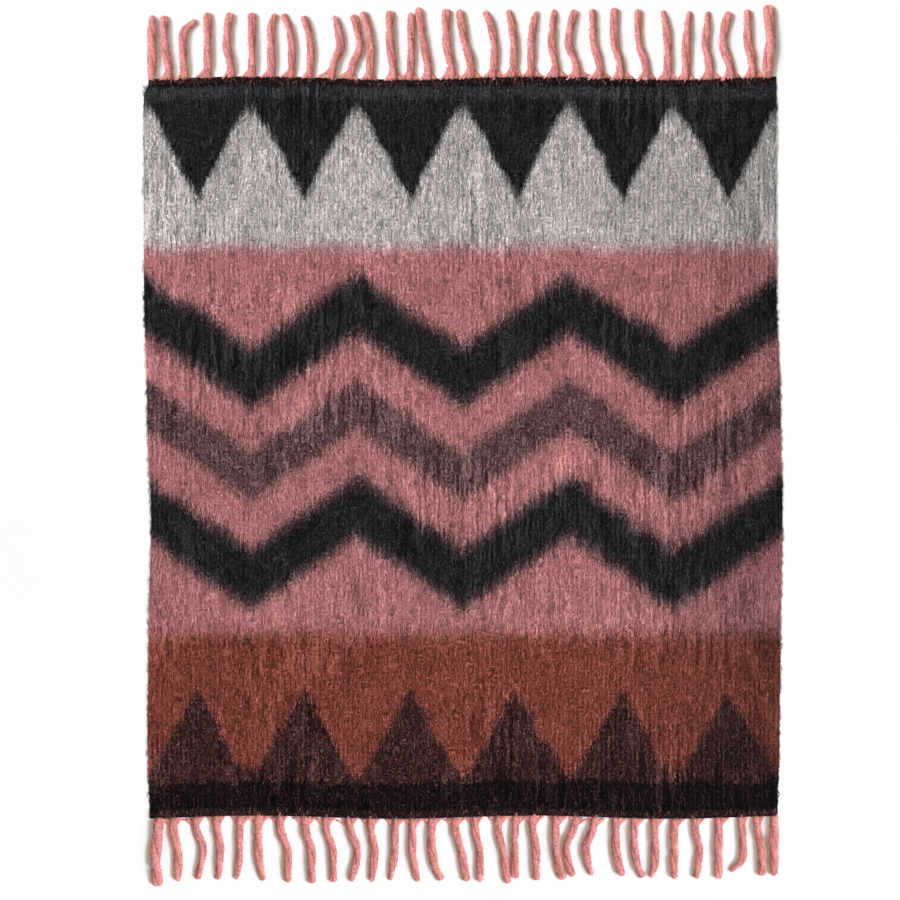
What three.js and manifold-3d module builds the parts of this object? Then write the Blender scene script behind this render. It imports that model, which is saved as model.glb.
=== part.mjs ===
// A brushed mohair throw laid out flat, face up, with a row of twisted tassels along each short end.
// Millimetres, +Z up. The origin is the middle of the underside, +Y runs to the head end.
import * as THREE from 'three';
import { mergeVertices } from 'three/addons/utils/BufferGeometryUtils.js';
import Module from 'manifold-3d';

const wasm = await Module();
wasm.setup();

// Driving dimensions
const OVERALL_LENGTH = 1800; // tassel tip to tassel tip
const TASSEL_LENGTH = 140;
const HEADING_WIDTH = 14; // the dense last picks that hold a row of tassels
const HEADING_HEIGHT = 5;
const PIECE_GAP = 0.3; // between the cloth and a heading
const PILE_HEIGHT = 6; // cloth and brushed pile together
const RIM_HEIGHT = 3.5; // the pile thins out at the cloth's edges
const RIM_WIDTH = 22;

// Edges of the cloth
const CLOTH_HALF_LENGTH = OVERALL_LENGTH / 2 - TASSEL_LENGTH - HEADING_WIDTH - PIECE_GAP;
const END_WAVE_HEIGHT = 3.2; // the ends bow in and out a little
const END_WAVE_LENGTH = 560;
const SIDE_ROWS = [ // where the two selvedges lie, from the head end to the foot end
  { along: CLOTH_HALF_LENGTH, left: -646, right: 643 },
  { along: 725, left: -655, right: 643 },
  { along: 640, left: -656, right: 643 },
  { along: 340, left: -655, right: 643 },
  { along: 60, left: -648, right: 652 },
  { along: -150, left: -640, right: 656 },
  { along: -400, left: -645, right: 652 },
  { along: -600, left: -647, right: 650 },
  { along: -CLOTH_HALF_LENGTH, left: -643, right: 646 },
];

// Loft of the pile and the faint fold line across the middle
const LOFT_WAVE = 0.9;
const LOFT_SPAN_ACROSS = 118;
const LOFT_SPAN_ALONG = 156;
const CREASE_ALONG = 22;
const CREASE_DEPTH = 1.6;
const CREASE_SPREAD = 24;
const CREASE_FADE_SPAN = 190; // the line shows in stretches, not all the way across

// Grid of the cloth
const COLUMNS = 26;
const ROWS = 34;

// Tassels
const TASSEL_STEPS = 9;
const TASSEL_ROOT_DEPTH = 6; // how far a root is sunk in its heading
const OUTER_ROOT_WIDTH = 22; // the first and last roots don't spread past the cloth
const CREST_SHARE = 0.6; // width of a tassel's top against its foot on the floor
const TAPER_ROWS = [ // a tassel gathers from a wide root, then keeps its width to a blunt tip
  { at: 0, width: 34, height: 4.6 },
  { at: 0.11, width: 22, height: 8 },
  { at: 0.24, width: 18, height: 12 },
  { at: 0.6, width: 17.5, height: 13 },
  { at: 0.92, width: 15, height: 11 },
  { at: 1, width: 8.5, height: 7 },
];
const FALL_STOPS = [0.25, 0.5, 0.8, 1]; // places along a tassel, as shares of its length
const FALLS = { // how far aside a tassel lies at those places, as shares of its throw
  plumb: [0, 0, 0, 0],
  bow: [0.35, 1, 0.75, 0.35],
  step: [0.25, 0.9, 1, 0.95],
  lean: [0.15, 0.52, 0.8, 1],
  sweep: [0, 0, 0.4, 1],
  hook: [-0.2, -0.25, -0.15, 1],
};
const TASSELS = [ // a root's place across the cloth, how its tassel fell, and where the tip ends
  { root: -638, fall: 'plumb', throw: 0, end: 882 },
  { root: -602, fall: 'step', throw: -11, end: 880 },
  { root: -569, fall: 'hook', throw: 21, end: 873 },
  { root: -524, fall: 'plumb', throw: 0, end: 886 },
  { root: -474, fall: 'bow', throw: -11, end: 886 },
  { root: -433, fall: 'plumb', throw: 0, end: 886 },
  { root: -392, fall: 'hook', throw: 7, end: 886 },
  { root: -351, fall: 'sweep', throw: -17, end: 884 },
  { root: -313, fall: 'sweep', throw: -14, end: 880 },
  { root: -271, fall: 'bow', throw: 19, end: 882 },
  { root: -232, fall: 'bow', throw: 20, end: 882 },
  { root: -190, fall: 'sweep', throw: -15, end: 888 },
  { root: -142, fall: 'step', throw: -8, end: 890 },
  { root: -108, fall: 'bow', throw: 2, end: 886 },
  { root: -70, fall: 'lean', throw: -22, end: 897 },
  { root: -23, fall: 'step', throw: -12, end: 894 },
  { root: 18, fall: 'lean', throw: -26, end: 892 },
  { root: 64, fall: 'sweep', throw: -19, end: 890 },
  { root: 104, fall: 'sweep', throw: -12, end: 894 },
  { root: 140, fall: 'sweep', throw: 11, end: 892 },
  { root: 191, fall: 'bow', throw: -9, end: 894 },
  { root: 236, fall: 'bow', throw: -19, end: 892 },
  { root: 283, fall: 'step', throw: -17, end: 894 },
  { root: 325, fall: 'step', throw: -15, end: 896 },
  { root: 378, fall: 'step', throw: -19, end: 894 },
  { root: 420, fall: 'sweep', throw: -10, end: 892 },
  { root: 458, fall: 'sweep', throw: 8, end: 890 },
  { root: 507, fall: 'bow', throw: -9, end: 890 },
  { root: 552, fall: 'bow', throw: -19, end: 888 },
  { root: 596, fall: 'step', throw: -12, end: 892 },
  { root: 624, fall: 'bow', throw: 6, end: 900 },
];

const { lerp, smoothstep } = THREE.MathUtils;

// Reads a table at a place between two of its rows, eased from row to row. The rows run up or down.
function readRows(rows, key, place) {
  const up = rows.at(-1)[key] > rows[0][key];
  const next = rows.findIndex((row) => (up ? row[key] >= place : row[key] <= place));
  const after = rows[next < 0 ? rows.length - 1 : next];
  const before = rows[Math.max(rows.indexOf(after) - 1, 0)];
  const span = after[key] - before[key];
  const share = span === 0 ? 0 : smoothstep((place - before[key]) / span, 0, 1);
  const eased = Object.keys(after).map((name) => [name, lerp(before[name], after[name], share)]);
  return Object.fromEntries(eased);
}

// A closed box of columns by rows whose vertices are moved to where place(column, row, upper) says.
function shapedBox(columns, rows, place) {
  const box = new THREE.BoxGeometry(1, 1, 1, columns, rows, 1);
  box.deleteAttribute('normal');
  box.deleteAttribute('uv');
  const geometry = mergeVertices(box);
  const corners = geometry.getAttribute('position');
  for (let i = 0; i < corners.count; i++) {
    const column = Math.round((corners.getX(i) + 0.5) * columns);
    const row = Math.round((corners.getY(i) + 0.5) * rows);
    const spot = place(column, row, corners.getZ(i) > 0);
    corners.setXYZ(i, spot.x, spot.y, spot.z);
  }
  return geometry;
}

// Shares of a length at which a grid line lies: one close to each rim and even steps between.
function gridShare(index, count, length) {
  const rim = RIM_WIDTH / length;
  if (index === 0 || index === count) return index / count;
  return lerp(rim, 1 - rim, (index - 1) / (count - 2));
}

// How far both ends of the cloth are drawn towards the head at a place across it.
const endBow = (x) => END_WAVE_HEIGHT * Math.sin((2 * Math.PI * x) / END_WAVE_LENGTH);

function acrossAt(column, along) {
  const side = readRows(SIDE_ROWS, 'along', along);
  return lerp(side.left, side.right, gridShare(column, COLUMNS, side.right - side.left));
}

function pileTop(x, y) {
  const wave = LOFT_WAVE * Math.sin(x / LOFT_SPAN_ACROSS) * Math.cos(y / LOFT_SPAN_ALONG);
  const shown = 0.5 + 0.5 * Math.cos(x / CREASE_FADE_SPAN);
  const crease = CREASE_DEPTH * shown * Math.exp(-(((y - CREASE_ALONG) / CREASE_SPREAD) ** 2));
  return PILE_HEIGHT + wave - crease;
}

// The grid line nearest to the fold line is drawn onto it.
function alongAt(row) {
  const length = 2 * CLOTH_HALF_LENGTH;
  const even = (at) => (gridShare(at, ROWS, length) - 0.5) * length;
  const step = even(2) - even(1);
  return Math.abs(even(row) - CREASE_ALONG) < step / 2 ? CREASE_ALONG : even(row);
}

function clothGeometry() {
  return shapedBox(COLUMNS, ROWS, (column, row, upper) => {
    const along = alongAt(row);
    const x = acrossAt(column, along);
    const end = along / CLOTH_HALF_LENGTH;
    const y = along + endBow(x) * end ** 2;
    const onRim = column === 0 || column === COLUMNS || row === 0 || row === ROWS;
    const top = onRim ? RIM_HEIGHT : pileTop(x, y);
    return new THREE.Vector3(x, y, upper ? top : 0);
  });
}

function headingGeometry() {
  return shapedBox(COLUMNS, 1, (column, row, upper) => {
    const x = acrossAt(column, CLOTH_HALF_LENGTH);
    const y = CLOTH_HALF_LENGTH + PIECE_GAP + endBow(x) + row * HEADING_WIDTH;
    return new THREE.Vector3(x, y, upper ? HEADING_HEIGHT : 0);
  });
}

// The middle line of a tassel on the floor, from its root to its tip.
function tasselLine({ root, fall, throw: aside, end }) {
  const edge = CLOTH_HALF_LENGTH + PIECE_GAP + HEADING_WIDTH + endBow(root);
  const start = new THREE.Vector2(root, edge - TASSEL_ROOT_DEPTH);
  const stops = FALL_STOPS.map((share, i) => (
    new THREE.Vector2(root + aside * FALLS[fall][i], lerp(start.y, end, share))
  ));
  return new THREE.SplineCurve([start, ...stops]);
}

// A four-sided strand with a flat foot on the floor and a narrower crest.
function tasselGeometry(tassel) {
  const line = tasselLine(tassel);
  const outer = tassel === TASSELS[0] || tassel === TASSELS.at(-1);
  return shapedBox(1, TASSEL_STEPS, (column, row, upper) => {
    const at = row / TASSEL_STEPS;
    const middle = line.getPointAt(at);
    const ahead = line.getTangentAt(at);
    const size = readRows(TAPER_ROWS, 'at', at);
    const width = outer ? Math.min(size.width, OUTER_ROOT_WIDTH) : size.width;
    const aside = (column - 0.5) * width * (upper ? CREST_SHARE : 1);
    const x = middle.x + ahead.y * aside;
    const y = middle.y - ahead.x * aside;
    return new THREE.Vector3(x, y, upper ? size.height : 0);
  });
}

function solidOf(geometry) {
  const vertProperties = geometry.getAttribute('position').array;
  const triVerts = new Uint32Array(geometry.index.array);
  return new wasm.Manifold(new wasm.Mesh({ numProp: 3, vertProperties, triVerts }));
}

function geometryOf(solid) {
  const { vertProperties, triVerts } = solid.getMesh();
  const geometry = new THREE.BufferGeometry();
  geometry.setAttribute('position', new THREE.BufferAttribute(vertProperties, 3));
  geometry.setIndex(new THREE.BufferAttribute(triVerts, 1));
  return geometry;
}

// A heading with the roots of its row of tassels fused into it.
function fringeGeometry() {
  let fringe = solidOf(headingGeometry());
  for (const tassel of TASSELS) fringe = fringe.add(solidOf(tasselGeometry(tassel)));
  return geometryOf(fringe);
}

function named(name, geometry, material) {
  const mesh = new THREE.Mesh(geometry, material);
  mesh.name = name;
  return mesh;
}

const brushedCloth = new THREE.MeshStandardMaterial({ color: 0x8f5a5b, roughness: 0.95, metalness: 0 });
const pinkYarn = new THREE.MeshStandardMaterial({ color: 0xc98382, roughness: 0.95, metalness: 0 });

const blanket = new THREE.Group();
const fringe = fringeGeometry();
const headFringe = named('fringe_head', fringe, pinkYarn);
const footFringe = named('fringe_foot', fringe, pinkYarn);
footFringe.rotation.z = Math.PI; // the foot's row fell as the head's did, turned end for end
blanket.add(named('blanket_cloth', clothGeometry(), brushedCloth), headFringe, footFringe);

export default blanket;
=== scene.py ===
"""A brushed mohair throw laid out flat, face up, with a row of twisted tassels along each short end."""
import math

import bmesh
import bpy
import numpy as np
from bpy.props import FloatProperty, FloatVectorProperty, IntProperty, PointerProperty
from mathutils import Euler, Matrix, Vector, noise
from mathutils.kdtree import KDTree


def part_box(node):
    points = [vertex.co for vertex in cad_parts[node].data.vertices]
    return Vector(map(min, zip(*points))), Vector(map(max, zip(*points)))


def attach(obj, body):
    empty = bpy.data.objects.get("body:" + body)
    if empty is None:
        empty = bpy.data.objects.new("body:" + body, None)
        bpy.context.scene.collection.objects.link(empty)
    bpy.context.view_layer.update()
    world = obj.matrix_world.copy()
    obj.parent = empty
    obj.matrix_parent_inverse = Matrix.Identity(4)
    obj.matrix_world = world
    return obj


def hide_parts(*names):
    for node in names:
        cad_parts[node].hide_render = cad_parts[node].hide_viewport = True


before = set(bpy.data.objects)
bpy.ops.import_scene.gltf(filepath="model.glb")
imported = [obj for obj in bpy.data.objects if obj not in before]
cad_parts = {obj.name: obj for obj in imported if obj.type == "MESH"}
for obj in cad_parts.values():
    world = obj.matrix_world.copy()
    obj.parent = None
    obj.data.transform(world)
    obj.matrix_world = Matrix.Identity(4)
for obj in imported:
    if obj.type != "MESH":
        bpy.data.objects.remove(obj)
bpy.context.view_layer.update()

bl_info = {
    "name": "Brushed mohair throw",
    "version": (1, 0, 0),
    "blender": (4, 5, 0),
    "location": "3D View > Sidebar > Throw",
    "description": "Weaves, brushes and fringes a mohair throw that lies flat",
    "category": "Object",
}

MM = 0.001

# Outline of the cloth, as its solid has it
END_BOW = 3.2 * MM
END_BOW_SPAN = 560 * MM
HALF_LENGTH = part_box("blanket_cloth")[1].y - END_BOW
PIECE_GAP = 0.3 * MM
HEADING_WIDTH = 14 * MM
USUAL_HALF_WIDTH = 650 * MM
SELVEDGES = {
    "along": (-HALF_LENGTH, -0.600, -0.400, -0.150, 0.060, 0.340, 0.640, 0.725, HALF_LENGTH),
    "left": (-0.643, -0.647, -0.645, -0.640, -0.648, -0.655, -0.656, -0.655, -0.646),
    "right": (0.646, 0.650, 0.652, 0.656, 0.652, 0.643, 0.643, 0.643, 0.643),
}

# Faint fold lines across the middle: place across, half their reach, depth
CREASE_ALONG = 19 * MM
CREASE_SPREAD = 9 * MM
FULL_CREASE = 1.6 * MM  # a crease of this depth shows its thin line of painted shade in full
CREASES = ((-0.455, 0.125, 1.5 * MM), (0.20, 0.085, 1.7 * MM), (0.02, 0.60, 0.6 * MM))

# Slow swells of the cloth
LOFT_SPAN_ACROSS = 0.118
LOFT_SPAN_ALONG = 0.156

# How a tassel fell: how far aside it lies at four places along it, as shares of its throw
FALL_STOPS = (0.25, 0.5, 0.8, 1)
FALLS = {
    "plumb": (0, 0, 0, 0),
    "bow": (0.35, 1, 0.75, 0.35),
    "step": (0.25, 0.9, 1, 0.95),
    "lean": (0.15, 0.52, 0.8, 1),
    "sweep": (0, 0, 0.4, 1),
    "hook": (-0.2, -0.25, -0.15, 1),
}

# The head's row in mm: a root's place across the cloth, how its tassel fell, its throw, and where its
# tip ends along the cloth. The foot's row is the same one, turned end for end.
TASSELS = (
    (-638, "plumb", 0, 882), (-602, "step", -11, 880), (-569, "hook", 21, 873),
    (-524, "plumb", 0, 886), (-474, "bow", -11, 886), (-433, "plumb", 0, 886),
    (-392, "hook", 7, 886), (-351, "sweep", -17, 884), (-313, "sweep", -14, 880),
    (-271, "bow", 19, 882), (-232, "bow", 20, 882), (-190, "sweep", -15, 888),
    (-142, "step", -8, 890), (-108, "bow", 2, 886), (-70, "lean", -22, 897),
    (-23, "step", -12, 894), (18, "lean", -26, 892), (64, "sweep", -19, 890),
    (104, "sweep", -12, 894), (140, "sweep", 11, 892), (191, "bow", -9, 894),
    (236, "bow", -19, 892), (283, "step", -17, 894), (325, "step", -15, 896),
    (378, "step", -19, 894), (420, "sweep", -10, 892), (458, "sweep", 8, 890),
    (507, "bow", -9, 890), (552, "bow", -19, 888), (596, "step", -12, 892),
    (624, "bow", 6, 900),
)
GIRTHS = {0: 1.2, 30: 1.4}  # places in the row of the stout tassels, and how stout they are
POINTED = (0, 2, 6, 9, 18, 19, 20, 25, 26, 27)  # places in the row of the tassels with narrow tips

# Both rows: how wide the picks of the heading show, how deep in the heading the tassels start, which
# share of the loose fibres lies over the heading, and the turn that takes the head's row to its end
ENDS = {
    "head": {"picks_width": 9 * MM, "root_depth": 6.5 * MM, "haze": 0.05, "turn": 0.0},
    "foot": {"picks_width": 17 * MM, "root_depth": -3 * MM, "haze": 0.06, "turn": math.pi},
}

# Plain bands of the cloth above the foot border, towards the head end: a band's yarn, where it starts and
# how softly
BANDS = (
    ("rust", -0.676, 19 * MM), ("pink", -0.385, 28 * MM), ("grey", 0.408, 24 * MM),
    ("head_border", 0.682, 26 * MM), ("heading", 0.737, 4 * MM),
)

# Motifs on the bands. Rows of triangles: their yarn, the line they stand on and their height, which is
# negative where they hang. Zigzags: their yarn, the level they run at and half their width.
TRIANGLES = (("charcoal", 0.712, -0.215), ("dark_plum", -0.690, 0.190))
TRIANGLE_SPAN = 0.218
BASE_SOFT = 6 * MM
ZIGZAGS = (
    ("plum", 0.215, 0.070), ("charcoal", 0.215, 0.052), ("plum", 0.010, 0.052),
    ("plum", -0.200, 0.070), ("charcoal", -0.200, 0.052),
)
ZIGZAG_SPAN = 2 * TRIANGLE_SPAN
ZIGZAG_CLIMB = 0.150
MOTIF_SOFT = 19 * MM

# How far the tone of one lock differs from the next in each yarn of the cloth
CONTRASTS = {
    "foot_border": 1.8, "rust": 0.53, "pink": 0.34, "grey": 0.36, "head_border": 0.65, "heading": 0.8,
    "charcoal": 0.90, "plum": 0.70, "dark_plum": 1.05,
}


# Settings


def colour_setting(name, description, value):
    return FloatVectorProperty(
        name=name, description=description, default=value, subtype="COLOR", min=0, max=1
    )


def length_setting(name, description, value):
    return FloatProperty(name=name, description=description, default=value, unit="LENGTH")


def angle_setting(name, description, value):
    return FloatProperty(name=name, description=description, default=value, subtype="ANGLE")


class ThrowColours(bpy.types.PropertyGroup):
    """Colours of the yarns, before light and shade"""

    head_border: colour_setting("Head border", "Plain border at the head end", (0.0362, 0.0383, 0.0420))
    grey: colour_setting("Grey", "Pale band below the head border", (0.600, 0.550, 0.530))
    charcoal: colour_setting("Charcoal", "Dark zigzags and hanging triangles", (0.0148, 0.0142, 0.0152))
    pink: colour_setting("Pink", "Middle field", (0.560, 0.219, 0.219))
    plum: colour_setting("Plum", "Middle zigzag and rims of the dark ones", (0.140, 0.066, 0.072))
    rust: colour_setting("Rust", "Band above the foot border", (0.280, 0.0655, 0.0435))
    dark_plum: colour_setting("Dark plum", "Triangles on the foot border", (0.0515, 0.0158, 0.0158))
    foot_border: colour_setting("Foot border", "Plain border at the foot end", (0.0054, 0.0016, 0.0021))
    heading: colour_setting("Heading", "Dense dark end beside the tassels", (0.0066, 0.0038, 0.0038))
    yarn: colour_setting("Tassel yarn", "Pink warp that runs out into the tassels", (0.800, 0.325, 0.300))
    floor: colour_setting("Floor", "Plain pale floor", (0.985, 0.985, 0.980))


class ThrowCloth(bpy.types.PropertyGroup):
    """Sizes of the woven cloth"""

    height: length_setting("Height", "Cloth below the pile", 3.1 * MM)
    rim_height: length_setting("Rim height", "Cloth at its very edge", 1.3 * MM)
    rim_width: length_setting("Rim width", "How far in the edge thins", 22 * MM)
    loft: length_setting("Loft", "Slow swells of the cloth", 0.9 * MM)
    rib_pitch: length_setting("Rib pitch", "From one rib to the next", 9.8 * MM)
    step: length_setting("Step", "Usual size of a mesh face", 13 * MM)


class ThrowPile(bpy.types.PropertyGroup):
    """Sizes of the brushed locks"""

    swaths: IntProperty(name="Swaths", description="Pieces the pile is made in", default=4, min=1)
    locks: IntProperty(name="Locks", description="Locks in a swath", default=43000, min=100)
    length: length_setting("Length", "Usual length of a lock", 18 * MM)
    width: length_setting("Width", "Usual width of a lock", 0.85 * MM)
    lift: length_setting("Lift", "Height of a lock's arch", 2.3 * MM)
    side_overhang: length_setting("Side overhang", "Fuzz past a selvedge", 6 * MM)
    head_overhang: length_setting("Head overhang", "Fuzz past the head end", 3 * MM)
    foot_overhang: length_setting("Foot overhang", "Fuzz past the foot end", 22 * MM)
    stray: angle_setting("Stray", "Usual turn out of line", math.radians(7))
    seed: IntProperty(name="Seed", description="Picks one brushing", default=7)


class ThrowFringe(bpy.types.PropertyGroup):
    """Sizes of the tassels"""

    half_width: length_setting("Half width", "Half of a tassel's width", 8.8 * MM)
    turns: FloatProperty(name="Turns", description="Turns of the two plies", default=0.9, min=0)
    flatness: FloatProperty(
        name="Flatness", description="Height against width", default=0.66, min=0.2, max=1
    )
    picks: IntProperty(name="Picks", description="Dense picks in a heading", default=5, min=1)
    fuzz: IntProperty(name="Fuzz", description="Loose fibres on a row of tassels", default=9000)
    seed: IntProperty(name="Seed", description="Picks one twist", default=11)


class ThrowStage(bpy.types.PropertyGroup):
    """Camera and light"""

    view_width: length_setting("View width", "Floor that the picture spans", 1.8486)
    view_middle: FloatVectorProperty(
        name="View middle", description="Floor point in mid picture", size=2, default=(-0.0267, -0.0092)
    )
    lens: FloatProperty(name="Lens", description="Focal length in mm", default=85, min=10)
    fill: FloatProperty(name="Fill", description="Light from all round", default=0.42, min=0)
    key: FloatProperty(name="Key", description="Power of a side light", default=105, unit="POWER")
    softness: angle_setting("Softness", "Spread of a side light", math.radians(30))


# Shapes of the cloth


def eased(place, places, values):
    """Reads a table between its rows, eased from row to row."""
    places, values = np.asarray(places), np.asarray(values)
    row = np.clip(np.searchsorted(places, place) - 1, 0, len(places) - 2)
    share = np.clip((place - places[row]) / (places[row + 1] - places[row]), 0, 1)
    share = share * share * (3 - 2 * share)
    return values[row] + (values[row + 1] - values[row]) * share


def selvedges(along):
    left = eased(along, SELVEDGES["along"], SELVEDGES["left"])
    right = eased(along, SELVEDGES["along"], SELVEDGES["right"])
    return left, right


def end_bow(x):
    """How far both ends of the cloth are drawn towards the head at a place across it."""
    return END_BOW * np.sin(2 * np.pi * x / END_BOW_SPAN)


def bowed(x, along):
    """The place along the throw of a point of a straight cloth, once its ends have bowed."""
    return along + end_bow(x) * (along / HALF_LENGTH) ** 2


def crease_depth(x, y):
    depth = np.zeros_like(x)
    for middle, reach, deepest in CREASES:
        depth += deepest * np.exp(-(((x - middle) / reach) ** 4))
    return depth * np.exp(-(((y - CREASE_ALONG) / CREASE_SPREAD) ** 2))


def cloth_top(x, along, cloth):
    """Height of the cloth below its pile."""
    left, right = selvedges(along)
    swell = cloth.loft * np.sin(x / LOFT_SPAN_ACROSS) * np.cos(along / LOFT_SPAN_ALONG)
    height = cloth.height + swell - crease_depth(x, along)
    inset = np.minimum(np.minimum(x - left, right - x), HALF_LENGTH - np.abs(along))
    share = np.clip(inset / cloth.rim_width, 0, 1)
    share = share * (2 - share)
    return cloth.rim_height + (height - cloth.rim_height) * share


# Materials


class Wiring:
    """Adds nodes to a tree: each call feeds a new node's inputs and returns its output."""

    def __init__(self, tree):
        self.tree = tree
        tree.nodes.clear()

    def add(self, kind, inputs=(), output=0, **settings):
        node = self.tree.nodes.new("ShaderNode" + kind)
        for name, value in settings.items():
            setattr(node, name, value)
        for socket, value in dict(inputs).items():
            if isinstance(value, bpy.types.NodeSocket):
                self.tree.links.new(value, node.inputs[socket])
            else:
                node.inputs[socket].default_value = value
        return node.outputs[output]

    def math(self, operation, *values):
        return self.add("Math", enumerate(values), operation=operation)

    def stretch(self, vector, across, along):
        """A place with its two directions scaled, for a streaky texture."""
        scale = (across, along, 1)
        return self.add("VectorMath", {0: vector, 1: scale}, operation="MULTIPLY")

    def noise(self, vector, scale, detail=2.0):
        return self.add("TexNoise", {"Vector": vector, "Scale": scale, "Detail": detail})

    def swing(self, value, size):
        """A 0 to 1 value as one that swings about 0 by up to half of size."""
        return self.math("MULTIPLY", self.math("SUBTRACT", value, 0.5), size)

    def streaky(self, vector, across, along, detail, swing):
        """A texture that swings about 0, with its own fineness across and along the throw."""
        return self.swing(self.noise(self.stretch(vector, across, along), 1.0, detail), swing)

    def between(self, share, low, high):
        """From low, where the share is 0, to high, where it is 1."""
        return self.math("MULTIPLY_ADD", share, high - low, low)

    def rise(self, value, edge, soft):
        """0 well below the edge, 1 well above it."""
        inputs = {"Value": value, "From Min": edge - soft, "From Max": edge + soft}
        return self.add("MapRange", inputs, interpolation_type="SMOOTHSTEP")

    def fall(self, value, edge, soft):
        """1 well below the edge, 0 well above it."""
        return self.math("SUBTRACT", 1.0, self.rise(value, edge, soft))

    def distance(self, first, second):
        return self.math("ABSOLUTE", self.math("SUBTRACT", first, second))

    def mix(self, share, first, second, blend="MIX"):
        inputs = {0: share, 6: first, 7: second}
        return self.add("Mix", inputs, output=2, data_type="RGBA", blend_type=blend)

    def shade(self, colour, factor):
        """A colour made lighter or darker by a factor."""
        grey = self.add("CombineColor", {0: factor, 1: factor, 2: factor})
        return self.mix(1.0, colour, grey, "MULTIPLY")

    def finish(self, colour, roughness, sheen=0.0, normal=None):
        inputs = {"Base Color": colour, "Roughness": roughness, "Sheen Weight": sheen}
        inputs |= {"Specular IOR Level": 0.12, "Sheen Roughness": 0.45}
        if normal is not None:
            inputs["Normal"] = normal
        surface = self.add("BsdfPrincipled", inputs)
        end = self.tree.nodes.new("ShaderNodeOutputMaterial")
        self.tree.links.new(surface, end.inputs["Surface"])


def new_material(name):
    material = bpy.data.materials.new(name)
    material.use_nodes = True
    return material, Wiring(material.node_tree)


def opaque(colour):
    return (*colour, 1.0)


def zigzag(wires, x, y, level, half_width):
    """Share of a zigzag stripe that runs across the cloth."""
    wave = wires.math("PINGPONG", x, ZIGZAG_SPAN / 2)
    line = wires.math("MULTIPLY_ADD", wave, 2 * ZIGZAG_CLIMB / ZIGZAG_SPAN, level - ZIGZAG_CLIMB / 2)
    return wires.fall(wires.distance(y, line), half_width, MOTIF_SOFT)


def triangle_row(wires, x, y, base, height):
    """Share of a row of triangles on a base line."""
    wave = wires.math("PINGPONG", x, TRIANGLE_SPAN / 2)
    reach = wires.math("MULTIPLY", wave, 2 * abs(height) / TRIANGLE_SPAN)
    away = wires.math("MULTIPLY", wires.math("SUBTRACT", y, base), math.copysign(1, height))
    inside = wires.rise(wires.math("SUBTRACT", reach, away), 0.0, MOTIF_SOFT)
    return wires.math("MULTIPLY", inside, wires.rise(away, 0.0, BASE_SOFT))


def laid_over(wires, share, under, yarn, colours):
    """Colour and contrast once a yarn lies over a share of what was there."""
    colour, contrast = under
    colour = wires.mix(share, colour, opaque(getattr(colours, yarn)))
    return colour, wires.add("Mix", {0: share, 2: contrast, 3: CONTRASTS[yarn]})


def dyed(wires, x, y, colours):
    """Colour and contrast of the bands, with the triangles and the zigzags laid over them."""
    dye = opaque(colours.foot_border), CONTRASTS["foot_border"]
    for yarn, start, soft in BANDS:
        dye = laid_over(wires, wires.rise(y, start, soft), dye, yarn, colours)
    for yarn, base, height in TRIANGLES:
        dye = laid_over(wires, triangle_row(wires, x, y, base, height), dye, yarn, colours)
    for yarn, level, half_width in ZIGZAGS:
        dye = laid_over(wires, zigzag(wires, x, y, level, half_width), dye, yarn, colours)
    return dye


TONE_SWING = 2.0
LIGHTEST = 1.7  # light tones stop short of this
LIGHTEST_SOFT = 0.6
PALEST = 1.2  # tones lighter than this get no paler
# How far painted sheen pales the lightest tones
PALING = 0.25


def toned(wires, colour, contrast, tone):
    """A colour made lighter or darker by a tone about 0.5, as far as the contrast lets it. Light tones
    are paler, too, as painted sheen."""
    swing = wires.math("SMOOTH_MIN", wires.swing(tone, TONE_SWING), LIGHTEST, LIGHTEST_SOFT)
    swing = wires.math("MULTIPLY", swing, contrast)
    lit = wires.shade(colour, wires.math("EXPONENT", swing))
    # Painted sheen: light tones are mixed towards their own grey
    pale = wires.math("MULTIPLY", wires.math("MINIMUM", swing, PALEST), PALING)
    return wires.mix(pale, lit, wires.add("RGBToBW", {0: lit}))


FOLD_LINE_HALF_WIDTH = 2.2 * MM
CREASE_FADE = 0.25  # of a crease's reach


def fold_line(wires, x, y):
    """Share of the thin line of painted shade where the pile parts along the fold."""
    away = wires.distance(y, CREASE_ALONG)
    line = wires.fall(away, FOLD_LINE_HALF_WIDTH, FOLD_LINE_HALF_WIDTH)
    shown = 0.0
    for middle, reach, deepest in CREASES:
        here = wires.fall(wires.distance(x, middle), reach, reach * CREASE_FADE)
        shown = wires.math("MULTIPLY_ADD", here, deepest / FULL_CREASE, shown)
    return wires.math("MULTIPLY", line, shown)


# Streaky textures of the cloth: how fine each is across and along the throw, its detail and its swing
STREAKY = {
    "feather": (260, 20, 2.0, 8 * MM),  # ragged edges of the bands and motifs
    "sway": (14, 14, 2.0, 24 * MM),  # slow wander of those edges
    "curl": (34, 30, 2.0, 1.0),  # bends of the streaks
    "streak": (105, 8, 1.0, 2.2),  # locks that were brushed together
    "grain": (290, 215, 1.0, 5.4),  # single fibres
}
# Streaks where the pile is loose and where it is combed: how far they bend and how strong they are
CURL_WIDTHS = (72 * MM, 26 * MM)
STREAK_SHARES = (0.35, 1.65)
COMBED_SCALE, COMBED_SOFT = 3.2, 0.18  # patches of combed pile
RIBBED_SCALE, RIBBED_SOFT = 4.0, 0.2  # patches where the ribs show through as painted shade between them
# How dark the painted shade between the ribs is
RIB_SHADE = 0.2
CLOUD_SCALE, CLOUD_SWING = 14.0, 0.5


def rib_wave(wires, x, rib_pitch):
    return wires.math("COSINE", wires.math("MULTIPLY", x, 2 * math.pi / rib_pitch))


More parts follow.
